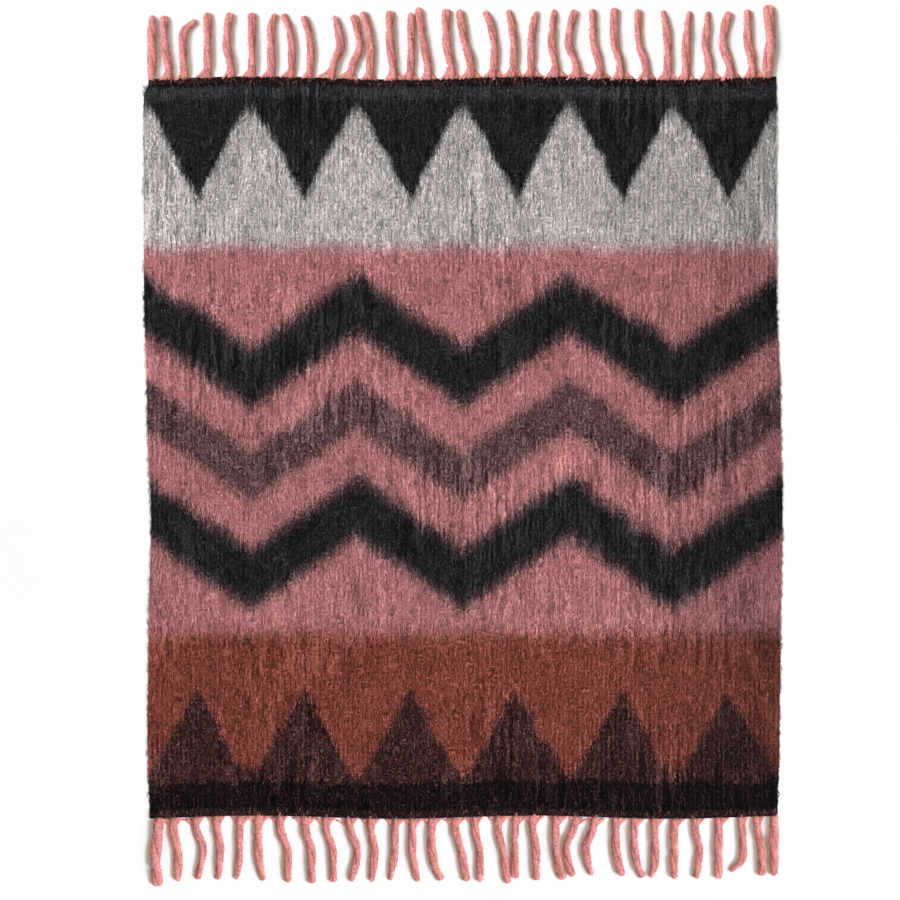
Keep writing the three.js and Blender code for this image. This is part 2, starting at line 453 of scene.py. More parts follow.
def brushed_tone(wires, place, x, rib_pitch):
    """Tone of the pile about 0.5. Its streaks are straight and strong where it is combed and curl
    elsewhere, and in places the ribs of the cloth show through as painted shade between them."""
    combed = wires.rise(wires.noise(place, COMBED_SCALE, 1.0), 0.5, COMBED_SOFT)
    curl = wires.streaky(place, *STREAKY["curl"])
    curl = wires.math("MULTIPLY", curl, wires.between(combed, *CURL_WIDTHS))
    curled = wires.add("VectorMath", {0: place, 1: wires.add("CombineXYZ", {0: curl})}, operation="ADD")
    streak = wires.streaky(curled, *STREAKY["streak"])
    streak = wires.math("MULTIPLY", streak, wires.between(combed, *STREAK_SHARES))
    cloud = wires.swing(wires.noise(place, CLOUD_SCALE), CLOUD_SWING)
    grain = wires.streaky(curled, *STREAKY["grain"])
    brushed = wires.math("ADD", wires.math("ADD", streak, cloud), grain)
    # Painted shade between the ribs, in patches
    ribbed = wires.rise(wires.noise(place, RIBBED_SCALE, 1.0), 0.5, RIBBED_SOFT)
    rib = wires.math("MULTIPLY", ribbed, -RIB_SHADE)
    rib = wires.math("MULTIPLY", rib_wave(wires, x, rib_pitch), rib)
    return wires.math("ADD", 0.5, wires.math("ADD", brushed, rib))


MOTTLE_SCALE, MOTTLE_SWING = 7.0, 0.5
BLOTCH_FINENESS = (120, 34)  # across and along the throw
BLOTCH_EDGE, BLOTCH_SOFT, BLOTCH_SHADE = 0.62, 0.08, 0.28
# Painted shade along the fold line
FOLD_SHADE = 0.16
FOLD_FEATHER = 0.4  # share of the bands' raggedness that the fold line has
# Painted shade on the right side: where it starts, how softly, and how dark it is at the foot and at the
# head
DARK_SIDE, DARK_SIDE_SOFT = 0.48, 0.2
DARK_SHADES = (0.46, 0.24)
DARK_TURN, DARK_TURN_SOFT = -0.2, 0.5


def slow_shade(wires, place, x, y, feather):
    """Brightness of the cloth from place to place: mottled and blotchy, with a thin line of painted shade
    along the fold, and painted shade that darkens it towards the right side, most at the foot."""
    mottle = wires.math("ADD", 1.0, wires.swing(wires.noise(place, MOTTLE_SCALE, 3.0), MOTTLE_SWING))
    blotch = wires.noise(wires.stretch(place, *BLOTCH_FINENESS), 1.0, 3.0)
    blotch = wires.rise(blotch, BLOTCH_EDGE, BLOTCH_SOFT)
    shaded = wires.math("SUBTRACT", mottle, wires.math("MULTIPLY", blotch, BLOTCH_SHADE))
    fold = fold_line(wires, x, wires.math("MULTIPLY_ADD", feather, FOLD_FEATHER, y))
    shaded = wires.math("SUBTRACT", shaded, wires.math("MULTIPLY", fold, FOLD_SHADE))
    # Painted shade, darker towards the right side and most at the foot
    darkest = wires.between(wires.rise(y, DARK_TURN, DARK_TURN_SOFT), *DARK_SHADES)
    darker = wires.math("MULTIPLY", wires.rise(x, DARK_SIDE, DARK_SIDE_SOFT), darkest)
    return wires.math("MULTIPLY", shaded, wires.math("SUBTRACT", 1.0, darker))


def colour_plan(scene):
    """Node group with the throw's bands and motifs: a place on the cloth gives its colour and how
    much one lock's tone differs from the next. It is made once."""
    tree = bpy.data.node_groups.get("throw_colour_plan")
    if tree:
        return tree
    tree = bpy.data.node_groups.new("throw_colour_plan", "ShaderNodeTree")
    tree.interface.new_socket("Place", in_out="INPUT", socket_type="NodeSocketVector")
    tree.interface.new_socket("Colour", in_out="OUTPUT", socket_type="NodeSocketColor")
    tree.interface.new_socket("Contrast", in_out="OUTPUT", socket_type="NodeSocketFloat")
    wires = Wiring(tree)
    place = tree.nodes.new("NodeGroupInput").outputs["Place"]
    x, y, _ = wires.add("SeparateXYZ", {0: place}).node.outputs
    feather = wires.streaky(place, *STREAKY["feather"])
    sway = wires.streaky(place, *STREAKY["sway"])
    swayed_x = wires.math("ADD", x, sway)
    swayed_y = wires.math("ADD", y, wires.math("ADD", feather, sway))
    colour, contrast = dyed(wires, swayed_x, swayed_y, scene.throw_colours)
    shaded = wires.shade(colour, slow_shade(wires, place, x, y, feather))
    tone = brushed_tone(wires, place, x, scene.throw_cloth.rib_pitch)
    ends = tree.nodes.new("NodeGroupOutput")
    tree.links.new(toned(wires, shaded, contrast, tone), ends.inputs["Colour"])
    tree.links.new(contrast, ends.inputs["Contrast"])
    return tree


def plan_at(wires, plan, place):
    """Colour and contrast of the throw's plan at a place."""
    node = wires.tree.nodes.new("ShaderNodeGroup")
    node.node_tree = plan
    wires.tree.links.new(place, node.inputs["Place"])
    return node.outputs["Colour"], node.outputs["Contrast"]


def cloth_material(plan, cloth):
    """Woven ground: the plan's colours in painted shade under the pile, with ribs and streaks along the
    length.
    """
    material, wires = new_material("woven_ground")
    place = wires.add("TexCoord", output="Object")
    colour, contrast = plan_at(wires, plan, place)
    streak = wires.noise(wires.stretch(place, 520, 60), 1.0, 3.0)
    # Painted shade under the pile darkens the ground
    colour = wires.shade(toned(wires, colour, contrast, wires.rise(streak, 0.5, 0.25)), 0.72)
    x = wires.add("SeparateXYZ", {0: place})
    rib = wires.math("MULTIPLY", rib_wave(wires, x, cloth.rib_pitch), 0.25)
    relief = wires.math("ADD", rib, streak)
    normal = wires.add("Bump", {"Height": relief, "Strength": 0.6, "Distance": 1.2 * MM})
    wires.finish(colour, roughness=0.92, normal=normal)
    return material


# Painted shade at the root of a lock and painted light at its tip
ROOT_SHADE, TIP_SHADE = 0.88, 1.08


def lock_colour(wires, colour, contrast):
    """Tone of a lock, and its painted shade at the root rising to painted light at the tip."""
    strand = wires.add("Attribute", output="Vector", attribute_name="strand")
    tone, along, _ = wires.add("SeparateXYZ", {0: strand}).node.outputs
    ramp = wires.between(along, ROOT_SHADE, TIP_SHADE)
    return wires.shade(toned(wires, colour, contrast, tone), ramp)


def pile_material(plan):
    """Brushed locks: each takes the plan's colours at its own place."""
    material, wires = new_material("brushed_pile")
    place = wires.add("Attribute", output="Vector", attribute_name="dye_place")
    colour, contrast = plan_at(wires, plan, place)
    wires.finish(lock_colour(wires, colour, contrast), roughness=0.7)
    return material


def fuzz_material(colours):
    """Loose fibres of the tassel yarn."""
    material, wires = new_material("yarn_fuzz")
    wires.finish(lock_colour(wires, opaque(colours.yarn), 0.35), roughness=0.8, sheen=0.1)
    return material


def yarn_material(colours):
    """Felted pink yarn with fine mottling, a few dark flecks and painted shade in the groove between its
    plies.
    """
    material, wires = new_material("felted_yarn")
    place = wires.add("TexCoord", output="Object")
    grain = wires.noise(wires.stretch(place, 1.0, 0.7), 330.0, 3.0)
    cloud = wires.noise(place, 60.0, 3.0)
    fleck = wires.rise(wires.noise(wires.stretch(place, 1.0, 0.4), 260.0, 3.0), 0.65, 0.05)
    tone = wires.math("ADD", wires.swing(grain, 1.9), wires.swing(cloud, 0.5))
    shaded = wires.math("SUBTRACT", wires.math("ADD", 1.0, tone), wires.math("MULTIPLY", fleck, 0.3))
    # Painted shade in the groove between the plies: darker and redder than the yarn
    apart = wires.add("Attribute", output="Fac", attribute_name="apart")
    groove = wires.fall(wires.math("ABSOLUTE", apart), 0.12, 0.1)
    deep = [share * level for share, level in zip(colours.yarn, (0.62, 0.45, 0.42))]
    colour = wires.shade(wires.mix(groove, opaque(colours.yarn), opaque(deep)), shaded)
    normal = wires.add("Bump", {"Height": grain, "Strength": 0.7, "Distance": 1.5 * MM})
    wires.finish(colour, roughness=0.85, sheen=0.1, normal=normal)
    return material


def pick_material(colours):
    """Dense dark picks, with the pink warp showing between them as flecks."""
    material, wires = new_material("heading_picks")
    place = wires.add("TexCoord", output="Object")
    fleck = wires.rise(wires.noise(wires.stretch(place, 330, 260), 1.0, 2.0), 0.60, 0.08)
    grain = wires.noise(wires.stretch(place, 500, 900), 1.0, 3.0)
    dark = wires.shade(opaque(colours.heading), wires.math("ADD", 0.5, grain))
    colour = wires.mix(wires.math("MULTIPLY", fleck, 0.10), dark, opaque(colours.yarn))
    normal = wires.add("Bump", {"Height": grain, "Strength": 0.6, "Distance": 1.0 * MM})
    wires.finish(colour, roughness=0.9, normal=normal)
    return material


def floor_material(colours):
    material, wires = new_material("pale_floor")
    place = wires.add("TexCoord", output="Object")
    grain = wires.math("ADD", 1.0, wires.swing(wires.noise(place, 3.0), 0.02))
    wires.finish(wires.shade(opaque(colours.floor), grain), roughness=0.9)
    return material


# Pieces


def shown(name, mesh, *materials):
    piece = bpy.data.objects.new(name, mesh)
    for material in materials:
        if material.name not in mesh.materials:
            mesh.materials.append(material)
    bpy.context.scene.collection.objects.link(piece)
    return piece


LOWEST = 0.1 * MM  # how near the floor a fibre may lie
DYE_REACH = 0.85  # share of the way along a lock that its dye place moves on with it


def lock_mesh(name, root, way, up, sizes, place, tone):
    """Many locks in one mesh. A lock is a slim closed spindle that bends once, at its widest place.
    The rows of root, way and up are a lock's start, its lie and what is above it, which also gives its
    shading, as the locks round it blur its own. Sizes has rows for length, width, mid and tip lift and
    bend. Tone and place are kept for the material: along a lock the place moves on with it, but not all
    the way."""
    length, width, mid_lift, tip_lift, bend = (row[:, None] for row in sizes)
    side = np.cross(way, up)
    middle = root + way * length * 0.5 + up * mid_lift + side * bend
    tip = root + way * length + up * tip_lift - side * bend * 0.5
    points = np.stack([root, middle - side * width / 2, middle + side * width / 2, tip], axis=1)
    points[:, :, 2] = np.maximum(points[:, :, 2], LOWEST)
    count = len(root)
    spindle = np.array([[0, 2, 1], [3, 1, 2], [2, 0, 3], [0, 1, 3]])
    faces = (spindle[None] + 4 * np.arange(count)[:, None, None]).reshape(-1, 3)
    mesh = bpy.data.meshes.new(name)
    mesh.from_pydata(points.reshape(-1, 3), [], faces)
    mesh.polygons.foreach_set("use_smooth", np.ones(len(faces), bool))
    mesh.normals_split_custom_set_from_vertices(np.repeat(up, 4, axis=0))

    strand = np.zeros((count, 4, 3))
    strand[:, :, 0], strand[:, :, 1] = tone[:, None], (0.0, 0.5, 0.5, 1.0)
    keep = mesh.attributes.new("strand", "FLOAT_VECTOR", "POINT")
    keep.data.foreach_set("vector", strand.ravel())
    keep = mesh.attributes.new("dye_place", "FLOAT_VECTOR", "POINT")
    keep.data.foreach_set("vector", (place[:, None] + DYE_REACH * (points - points[:, :1])).ravel())

    cells = math.ceil(math.sqrt(count))
    corner = np.stack([np.arange(count) % cells, np.arange(count) // cells], axis=1)
    spread = np.array([[0.1, 0.5], [0.5, 0.1], [0.5, 0.9], [0.9, 0.5]])
    flat = ((corner[:, None] + spread[None]) / cells).reshape(-1, 2)
    chart = mesh.uv_layers.new(name="OFBake")
    chart.data.foreach_set("uv", flat[faces.ravel()].ravel())
    return mesh


def grid_lines(half, step, rim, extra=()):
    """Places of mesh lines from -half to half: even steps, closer at both rims and at extra places."""
    even = np.linspace(-half + rim, half - rim, round(2 * (half - rim) / step))
    edge = half - rim * np.array([0, 0.12, 0.3, 0.6])
    return np.sort(np.concatenate([even, edge, -edge, extra]))


def cloth_mesh(cloth):
    """A closed sheet with the solid's outline: a shaped grid above, flat on the floor below."""
    fold = CREASE_ALONG + CREASE_SPREAD * np.linspace(-2, 2, 11)
    rows = grid_lines(HALF_LENGTH, cloth.step, cloth.rim_width, fold)
    columns = grid_lines(USUAL_HALF_WIDTH, cloth.step, cloth.rim_width) / USUAL_HALF_WIDTH
    shape = bmesh.new()
    bmesh.ops.create_grid(shape, x_segments=len(columns) - 1, y_segments=len(rows) - 1, size=1)
    sheet = list(shape.faces)
    under = bmesh.ops.extrude_face_region(shape, geom=sheet, use_keep_orig=True)["geom"]
    under = {part for part in under if isinstance(part, bmesh.types.BMVert)}
    for vert in shape.verts:
        along = rows[round((vert.co.y + 1) / 2 * (len(rows) - 1))]
        across = columns[round((vert.co.x + 1) / 2 * (len(columns) - 1))]
        left, right = selvedges(along)
        x = left + (right - left) * (across + 1) / 2
        top = 0 if vert in under else cloth_top(x, along, cloth)
        vert.co = (x, bowed(x, along), top)
    bmesh.ops.recalc_face_normals(shape, faces=list(shape.faces))
    mesh = bpy.data.meshes.new("woven_cloth")
    shape.to_mesh(mesh)
    shape.free()
    mesh.shade_smooth()
    return mesh


class THROW_OT_weave_cloth(bpy.types.Operator):
    """Weave the flat cloth that carries the pile and the fringes"""

    bl_idname = "throw.weave_cloth"
    bl_label = "Weave cloth"

    def execute(self, context):
        scene = context.scene
        ground = cloth_material(colour_plan(scene), scene.throw_cloth)
        piece = shown("woven_cloth", cloth_mesh(scene.throw_cloth), ground)
        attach(piece, "root")
        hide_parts("blanket_cloth")
        return {"FINISHED"}


EDGE_INSET = 1 * MM  # from an edge of the cloth to the nearest root
ROOT_SINK = 0.3 * MM  # how deep in the cloth a lock is rooted
RIB_SCATTER = 0.24  # how far locks stray from the middle of a rib, in rib pitches
NAP_SHARE = 0.58  # share of the locks that are brushed towards the foot
DRIFT_LEAN = math.radians(4)
WILD_SHARE, WILD_LEAN = 0.05, 0.8  # locks that lie out of line, and how far at most
RIM_REACH, RIM_LEAN = 9 * MM, 0.7  # how near a selvedge locks fan out, and how far at most
SHORTEST_LOCK = 4 * MM
FULL_DIP = 1.5 * MM  # depth of the fold where its locks lie lowest, with the darkest painted shade
DYE_SCATTER = (0.5 * MM, 3 * MM)  # usual shift of a lock's dye place, across and along the throw


def drift(x, along):
    """Slow turns of the brushing from place to place."""
    return np.sin(9 * x + 5 * along) * np.sin(6 * along - 4 * x + 1) + 0.6 * np.sin(23 * along + 11 * x)


def lock_leans(x, along, fan, pile, rng):
    """How far locks lean from the length of the throw. Fan is how strongly a selvedge turns them."""
    lean = DRIFT_LEAN * drift(x, along) + rng.normal(0, pile.stray, len(x))
    wild = rng.random(len(x)) < WILD_SHARE
    lean[wild] = rng.uniform(-WILD_LEAN, WILD_LEAN, wild.sum())
    return lean + fan * rng.uniform(0.0, RIM_LEAN, len(x))


def lock_lengths(x, along, lean, nap, pile, rng):
    """Lengths of locks, cut short where one would stand too far past an edge of the cloth."""
    count = len(x)
    left, right = selvedges(along)
    length = np.clip(rng.normal(1, 0.28, count), 0.4, 1.8) * pile.length
    past_end = np.where(nap > 0, pile.head_overhang, pile.foot_overhang) * rng.uniform(0.3, 1, count)
    past_side = pile.side_overhang * rng.uniform(0, 1, count) ** 1.5
    end_room = (HALF_LENGTH + past_end - nap * along) / np.maximum(np.cos(lean), 0.2)
    side_room = np.where(lean > 0, right - x, x - left) + past_side
    side_room /= np.maximum(np.abs(np.sin(lean)), 0.05)
    return np.maximum(np.minimum(length, np.minimum(end_room, side_room)), SHORTEST_LOCK)


def brushed_locks(name, low, high, scene, rng):
    """Mesh of the locks that are rooted between two places along the throw."""
    cloth, pile = scene.throw_cloth, scene.throw_pile
    count = pile.locks
    along = rng.uniform(low, high, count)
    left, right = selvedges(along)
    x = rng.uniform(left, right)
    rib = (np.floor(x / cloth.rib_pitch) + 0.5) * cloth.rib_pitch
    x = rib + rng.normal(0, RIB_SCATTER, count) * cloth.rib_pitch
    x = np.clip(x, left + EDGE_INSET, right - EDGE_INSET)
    rim = np.exp(-np.minimum(x - left, right - x) / RIM_REACH)
    outward = np.where(x - left < right - x, -1.0, 1.0)

    nap = np.where(rng.random(count) < NAP_SHARE, -1.0, 1.0)
    lean = lock_leans(x, along, outward * rim, pile, rng)
    way = np.stack([np.sin(lean), nap * np.cos(lean), np.zeros(count)], axis=1)
    up = np.tile([0.0, 0.0, 1.0], (count, 1))

    length = lock_lengths(x, along, lean, nap, pile, rng)
    dip = np.clip(crease_depth(x, along) / FULL_DIP, 0, 1)
    width = rng.uniform(0.6, 1.3, count) * pile.width
    lift = rng.uniform(0.4, 1.4, count) * pile.lift * (1 - 0.5 * rim) * (1 - 0.5 * dip)
    lift *= np.minimum(length / pile.length, 1)
    tip = lift * rng.uniform(-0.1, 0.9, count)
    bend = rng.normal(0, 0.04, count) * length
    root = np.stack([x, bowed(x, along), cloth_top(x, along, cloth) - ROOT_SINK], axis=1)
    place = np.stack([x, along, np.zeros(count)], axis=1)
    place[:, :2] += rng.normal(0, 1, (count, 2)) * DYE_SCATTER
    # Locks in the fold get painted shade: their tone drops with the dip
    tone = np.clip(rng.normal(0.5, 0.08, count), 0, 1) - 0.9 * dip**3
    return lock_mesh(name, root, way, up, (length, width, lift, tip, bend), place, tone)


class THROW_OT_brush_pile(bpy.types.Operator):
    """Brush the face of the cloth into long locks that lie along the throw"""

    bl_idname = "throw.brush_pile"
    bl_label = "Brush pile"

    def execute(self, context):
        scene = context.scene
        material = pile_material(colour_plan(scene))
        swaths = scene.throw_pile.swaths
        edges = np.linspace(-HALF_LENGTH + EDGE_INSET, HALF_LENGTH - EDGE_INSET, swaths + 1)
        for index in range(swaths):
            name = f"pile_swath_{index + 1}"
            rng = np.random.default_rng(scene.throw_pile.seed + index)
            mesh = brushed_locks(name, edges[index], edges[index + 1], scene, rng)
            piece = shown(name, mesh, material)
            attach(piece, "root")
        return {"FINISHED"}


# Tassels

TASSEL_STEPS = 30
PLY_RADIUS = 0.68  # of a tassel's half width
# Where the side strands of a root leave the heading
ROOT_SPREAD = (-24 * MM, -17 * MM, -9 * MM, 9 * MM, 16 * MM, 23 * MM)
OUTER_SPREAD = 0.3  # the first and last roots of a row spread less
NECK = 0.11  # share of a tassel's length where its root is gathered
# Tips: the share of a tassel's length that rounds off, and the share of its width that is left there
POINTED_TIP = (0.045, 0.64)
BLUNT_TIP = (0.03, 0.94)
YARN_LUMP = 0.9 * MM
PICK_LUMP = 0.2 * MM
# Haze of fibres over a heading: how far it spreads across and along from a root, and how much longer,
# thinner and darker its fibres are
HAZE_ACROSS = 21 * MM
HAZE_ALONG = (-9 * MM, 2 * MM)
HAZE_LENGTH, HAZE_WIDTH, HAZE_TONE = 1.4, 0.42, -2.1


def smooth_line(points, count):
    """Points on a smooth line through a few given ones, and the share of its length at each."""
    points = np.asarray(points)
    padded = np.concatenate([points[:1], points, points[-1:]])
    slope = (padded[2:] - padded[:-2]) / 2
    place = np.linspace(0, len(points) - 1, count)
    start = np.minimum(place.astype(int), len(points) - 2)
    t = (place - start)[:, None]
    line = points[start] * (2 * t**3 - 3 * t**2 + 1) + slope[start] * (t**3 - 2 * t**2 + t)
    line += points[start + 1] * (3 * t**2 - 2 * t**3) + slope[start + 1] * (t**3 - t**2)
    length = np.concatenate([[0], np.cumsum(np.linalg.norm(np.diff(line, axis=0), axis=1))])
    return line, length / length[-1]


class Tassel:
    """The middle line of one tassel of the head's row, its size and its twist."""

    def __init__(self, index, root_depth, fringe, rng):
        root, fall, throw, end = TASSELS[index]
        root, throw, end = root * MM, throw * MM, end * MM
        outer = index in (0, len(TASSELS) - 1)
        start = HALF_LENGTH + PIECE_GAP + HEADING_WIDTH + end_bow(root) - root_depth
        points = [(root, start)]
        for share, aside in zip(FALL_STOPS, FALLS[fall]):
            points.append((root + throw * aside, start + (end - start) * share))
        self.path, self.measure = smooth_line(points, 80)
        self.widest = fringe.half_width * GIRTHS.get(index, rng.uniform(0.92, 1.08))
        self.tip_reach, self.tip_width = POINTED_TIP if index in POINTED else BLUNT_TIP
        tidy = OUTER_SPREAD if outer else 1.0
        self.spread = [reach * tidy * rng.uniform(0.75, 1.15) for reach in ROOT_SPREAD]
        # Towards the left end of the row, roots spread less to their right
        right = np.interp(root, (-0.4, 0.0), (0.35, 1.0))
        self.spread = [reach * (right if reach > 0 else 1) for reach in self.spread]

        near_tip = 1 - self.tip_reach * np.array([1, 0.7, 0.45, 0.25, 0.1, 0.02])
        self.share = np.concatenate([np.linspace(0, near_tip[0], TASSEL_STEPS)[:-1], near_tip])
        floor, self.side = self.line(self.share)
        self.half = self.half_width(self.share)
        turn = rng.uniform(0, 2 * math.pi) + 2 * math.pi * fringe.turns * rng.uniform(0.5, 1.3) * self.share
        self.ply, self.arm = self.half * PLY_RADIUS, self.half * (1 - PLY_RADIUS)
        self.apart = np.c_[self.side * np.cos(turn)[:, None], np.sin(turn)]
        self.middle = np.c_[floor, self.ply + self.arm * np.abs(np.sin(turn))]

    def point(self, share):
        return np.stack([np.interp(share, self.measure, self.path[:, axis]) for axis in (0, 1)], axis=1)

    def line(self, share):
        """Points of the middle line on the floor, and which way is sideways there."""
        ahead = self.point(share + 0.02) - self.point(share - 0.02)
        ahead /= np.linalg.norm(ahead, axis=1, keepdims=True)
        return self.point(share), np.stack([ahead[:, 1], -ahead[:, 0]], axis=1)

    def half_width(self, share):
        stops, widths = (0, 0.05, NECK, 0.3, 0.7, 1), (0.4, 0.75, 0.92, 1, 0.98, self.tip_width)
        body = np.interp(share, stops, widths)
        short = np.clip((1 - share) / self.tip_reach, 0, 1)
        return self.widest * body * np.sqrt(1 - (1 - short) ** 2)


def add_strand(curve, points, radii, material_index):
    strand = curve.splines.new("POLY")
    strand.points.add(len(points) - 1)
    strand.points.foreach_set("co", np.c_[points, np.ones(len(points))].ravel())
    strand.points.foreach_set("radius", np.asarray(radii) / MM)
    strand.material_index = material_index


def twist_tassel(curve, tassel):
    """Two plies wound round each other, and the strands that gather into their root."""
    for way in (-1, 1):
        add_strand(curve, tassel.middle + way * tassel.apart * tassel.arm[:, None], tassel.ply, 1)
    gather = np.linspace(0, 1, 7)
    neck, side = tassel.line(gather * NECK * 1.5)
    for start in tassel.spread:
        slack = (1 - gather) ** 1.7
        aside = start * slack + np.sign(start) * tassel.widest * 0.35 * (1 - slack)
        radius = tassel.widest * (0.2 + 0.34 * gather)
        add_strand(curve, np.c_[neck + side * aside[:, None], radius], radius, 1)


def lay_picks(curve, width, fringe):
    """Dense picks side by side, along the end of the cloth."""
    left, right = selvedges(HALF_LENGTH)
    x = np.linspace(left, right, 60)
    radius = width / fringe.picks / 2
    for pick in range(fringe.picks):
        y = HALF_LENGTH + PIECE_GAP + end_bow(x) + radius * (2 * pick + 1)
        height = np.full_like(x, radius / fringe.flatness)
        add_strand(curve, np.c_[x, y, height], np.full_like(x, radius * 1.2), 0)


def fringe_mesh(name, tassels, picks_width, fringe, materials):
    """A heading and its row of tassels, all on the floor. Each vertex keeps how far it is from the
    groove between its tassel's plies, in half widths."""
    curve = bpy.data.curves.new(name, "CURVE")
    curve.dimensions = "3D"
    curve.bevel_depth = MM
    curve.bevel_resolution = 4
    curve.use_fill_caps = True
    for material in materials:
        curve.materials.append(material)
    lay_picks(curve, picks_width, fringe)
    steps = KDTree(sum(len(tassel.middle) for tassel in tassels))
    owners = []
    for tassel in tassels:
        twist_tassel(curve, tassel)
        for step, spot in enumerate(tassel.middle):
            steps.insert(spot, len(owners))
            owners.append((Vector(tassel.apart[step]), tassel.share[step], tassel.widest))
    steps.balance()
    holder = bpy.data.objects.new(name, curve)
    mesh = bpy.data.meshes.new_from_object(holder)
    bpy.data.objects.remove(holder)
    bpy.data.curves.remove(curve)

    shape = bmesh.new()
    shape.from_mesh(mesh)
    bmesh.ops.remove_doubles(shape, verts=list(shape.verts), dist=0.01 * MM)
    bmesh.ops.recalc_face_normals(shape, faces=list(shape.faces))
    keep = shape.verts.layers.float.new("apart")
    for vert in shape.verts:
        spot, nearest, _ = steps.find(vert.co)
        apart, share, half = owners[nearest]
        vert[keep] = (vert.co - spot).dot(apart) / half if share > NECK else 1
    for vert in shape.verts:
        lump = noise.noise(vert.co * 130) + 0.6 * noise.noise(vert.co * 330)
        vert.co += vert.normal * lump * (YARN_LUMP if vert.link_faces[0].material_index else PICK_LUMP)
        vert.co.z = max(vert.co.z, 0) * fringe.flatness
    shape.to_mesh(mesh)
    shape.free()
    mesh.shade_smooth()
    return mesh


def fuzz_mesh(name, tassels, haze_share, fringe, rng):
    """Loose fibres that lie along the tassels and stand a little off them. Some lie over the heading."""
    count = fringe.fuzz
    owner = rng.integers(0, len(tassels), count)
    haze = rng.random(count) < haze_share
    share = np.where(haze, 0.0, rng.uniform(0.0, 0.95, count))
    point, side, half = np.zeros((count, 2)), np.zeros((count, 2)), np.zeros(count)
    for index, tassel in enumerate(tassels):
        mine = owner == index
        point[mine], side[mine] = tassel.line(share[mine])
        half[mine] = tassel.half_width(share[mine])
    point[haze, 0] += rng.uniform(-HAZE_ACROSS, HAZE_ACROSS, haze.sum())
    point[haze, 1] += rng.uniform(*HAZE_ALONG, haze.sum())
    left, right = selvedges(HALF_LENGTH)
    from_left = np.abs(point[haze, 0] - left)  # haze that would lie past a selvedge is folded back
    point[haze, 0] = right - np.abs(right - left - from_left)
    round_angle = np.where(haze, math.pi / 2, rng.uniform(-0.25, math.pi + 0.25, count))
    aside = np.c_[side, np.zeros(count)]
    ahead = np.c_[-side[:, 1], side[:, 0], np.zeros(count)]
    upward = np.tile([0.0, 0.0, 1.0], (count, 1))
    out = aside * np.cos(round_angle)[:, None] + upward * np.sin(round_angle)[:, None]
    height = half * fringe.flatness
    root = np.c_[point, height] + out * (half * 0.86)[:, None] * [1, 1, fringe.flatness]
    lie = np.where(haze, -1.0, rng.choice([-1.0, 1.0], count))[:, None]
    across = np.cross(ahead, out)
    way = ahead * lie + out * rng.uniform(0.0, 0.35, (count, 1)) + across * rng.normal(0, 0.35, (count, 1))
    way /= np.linalg.norm(way, axis=1, keepdims=True)
    up = out - way * np.sum(out * way, axis=1, keepdims=True)
    up /= np.linalg.norm(up, axis=1, keepdims=True)
    length = rng.uniform(4, 10, count) * MM
    lift = rng.uniform(0.2, 0.9, count) * MM
    sizes = (
        length * np.where(haze, HAZE_LENGTH, 1),
        rng.uniform(0.3, 0.7, count) * np.where(haze, HAZE_WIDTH, 1) * MM,
        lift,
        lift * rng.uniform(-0.6, 0.9, count),
        rng.normal(0, 0.08, count) * length,
    )
    tone = np.clip(rng.normal(0.5, 0.25, count), 0, 1) + np.where(haze, HAZE_TONE, 0)
    return lock_mesh(name, root, way, up, sizes, np.zeros((count, 3)), tone)


class THROW_OT_twist_fringes(bpy.types.Operator):
    """Twist a row of tassels for each end, on its heading"""

    bl_idname = "throw.twist_fringes"
    bl_label = "Twist fringes"

    def execute(self, context):
        scene = context.scene
        fringe, colours = scene.throw_fringe, scene.throw_colours
        picks, yarn, loose = pick_material(colours), yarn_material(colours), fuzz_material(colours)
        for offset, (end, row_sizes) in enumerate(ENDS.items()):
            rng = np.random.default_rng(fringe.seed + offset)
            places = range(len(TASSELS))
            tassels = [Tassel(index, row_sizes["root_depth"], fringe, rng) for index in places]
            turn = Euler((0, 0, row_sizes["turn"])).to_matrix().to_4x4()
            row = fringe_mesh(f"tassels_{end}", tassels, row_sizes["picks_width"], fringe, (picks, yarn))
            row.transform(turn)
            piece = shown(f"tassels_{end}", row)
            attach(piece, "root")
            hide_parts(f"fringe_{end}")
            fuzz = fuzz_mesh(f"tassel_fuzz_{end}", tassels, row_sizes["haze"], fringe, rng)
            fuzz.transform(turn)
            piece = shown(f"tassel_fuzz_{end}", fuzz, loose)
            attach(piece, "root")
        return {"FINISHED"}


# Stage


BEAM_FROM = Vector((-6.2, 1.9, 5.9)).normalized()  # which way the head's light comes from
BEAM_REACH = 3.2  # from a lamp to the floor
BEAM_WIDTH = 8.0
BEAM_HEIGHT = 4.4
BEAM_OVERLAP = 0.05  # how far each beam passes the middle of the throw
BEAM_COLOUR = (0.944, 1.0, 1.11)
BESIDE = 5.0  # from the beam on the throw to the beams that light the floor beside it
BESIDE_SPREAD = math.radians(8)
FLOOR_HALF = 12
FLOOR_DROP = 0.6 * MM  # keeps the floor just clear of the cloth
SKY_COLOUR = (1.0, 0.90, 0.74, 1.0)


def add_beams(end, turned, stage):
    """Three large lamps whose light leaves them nearly in line, so that they light one half of the floor
    evenly, from the middle of the throw outwards. Only the middle one reaches the throw."""
    turn = Euler((0, 0, turned)).to_matrix()
    back = Vector((BEAM_FROM.x, BEAM_FROM.y, 0)).normalized()
    outward = Vector((back.y, -back.x, 0)) * (BEAM_WIDTH / 2 - BEAM_OVERLAP)
    for place in (-1, 0, 1):
        lamp = bpy.data.lights.new(f"{end}_light", "AREA")
        lamp.shape, lamp.size, lamp.size_y = "RECTANGLE", BEAM_WIDTH, BEAM_HEIGHT
        lamp.energy, lamp.color = stage.key, BEAM_COLOUR
        lamp.spread = BESIDE_SPREAD if place else stage.softness
        holder = bpy.data.objects.new(lamp.name, lamp)
        holder.location = turn @ (outward + back * place * BESIDE + BEAM_FROM * BEAM_REACH)
        holder.rotation_euler = (turn @ -BEAM_FROM).to_track_quat("-Z", "Y").to_euler()
        holder.visible_camera = False
        bpy.context.scene.collection.objects.link(holder)


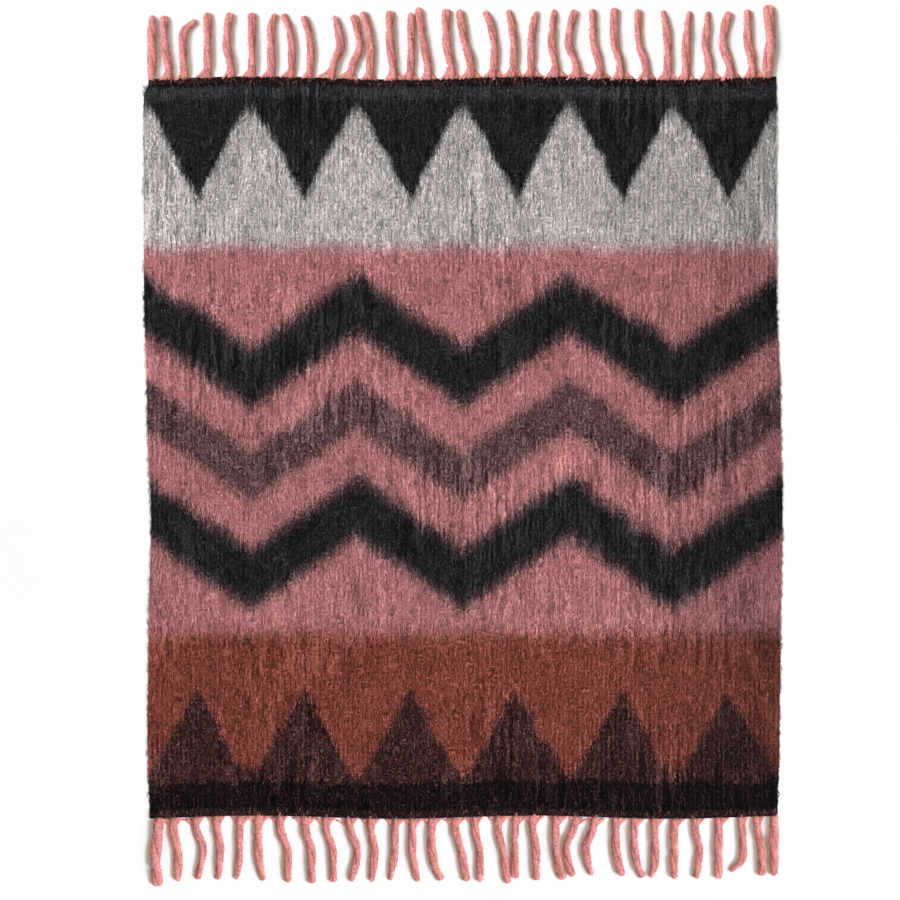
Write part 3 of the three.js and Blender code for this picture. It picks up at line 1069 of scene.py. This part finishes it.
class THROW_OT_set_stage(bpy.types.Operator):
    """Set the floor, the soft light and the camera straight above"""

    bl_idname = "throw.set_stage"
    bl_label = "Set stage"

    def execute(self, context):
        scene = context.scene
        stage = scene.throw_stage
        ground = bmesh.new()
        bmesh.ops.create_grid(ground, x_segments=1, y_segments=1, size=FLOOR_HALF)
        bmesh.ops.translate(ground, vec=(0, 0, -FLOOR_DROP), verts=list(ground.verts))
        mesh = bpy.data.meshes.new("floor")
        ground.to_mesh(mesh)
        ground.free()
        shown("floor", mesh, floor_material(scene.throw_colours))

        world = bpy.data.worlds.new("soft_room")
        world.use_nodes = True
        sky = world.node_tree.nodes["Background"]
        sky.inputs["Color"].default_value = SKY_COLOUR
        sky.inputs["Strength"].default_value = stage.fill
        scene.world = world
        for end, row_sizes in ENDS.items():
            add_beams(end, row_sizes["turn"], stage)

        camera = bpy.data.cameras.new("view_from_above")
        camera.lens = stage.lens
        holder = bpy.data.objects.new("view_from_above", camera)
        holder.location = (*stage.view_middle, stage.view_width * stage.lens / camera.sensor_width)
        scene.collection.objects.link(holder)
        scene.camera = holder
        scene.view_settings.view_transform = "Standard"
        return {"FINISHED"}


STEPS = (
    THROW_OT_brush_pile,
    THROW_OT_twist_fringes,
    THROW_OT_weave_cloth,
    THROW_OT_set_stage,
)
SETTINGS = {
    "throw_colours": ThrowColours,
    "throw_cloth": ThrowCloth,
    "throw_pile": ThrowPile,
    "throw_fringe": ThrowFringe,
    "throw_stage": ThrowStage,
}


class THROW_PT_panel(bpy.types.Panel):
    """Lists the steps of the throw and their settings"""

    bl_idname = "THROW_PT_panel"
    bl_label = "Brushed throw"
    bl_space_type = "VIEW_3D"
    bl_region_type = "UI"
    bl_category = "Throw"

    def draw(self, context):
        for step in STEPS:
            self.layout.operator(step.bl_idname)
        for name, group in SETTINGS.items():
            box = self.layout.box()
            for setting in group.__annotations__:
                box.prop(getattr(context.scene, name), setting)


CLASSES = (*SETTINGS.values(), *STEPS, THROW_PT_panel)


def register():
    for cls in CLASSES:
        bpy.utils.register_class(cls)
    for name, group in SETTINGS.items():
        setattr(bpy.types.Scene, name, PointerProperty(type=group))


def unregister():
    for name in SETTINGS:
        delattr(bpy.types.Scene, name)
    for cls in reversed(CLASSES):
        bpy.utils.unregister_class(cls)


def main():
    register()
    bpy.ops.throw.brush_pile()
    bpy.ops.throw.twist_fringes()
    bpy.ops.throw.weave_cloth()
    bpy.ops.throw.set_stage()


if __name__ == "__main__":
    main()
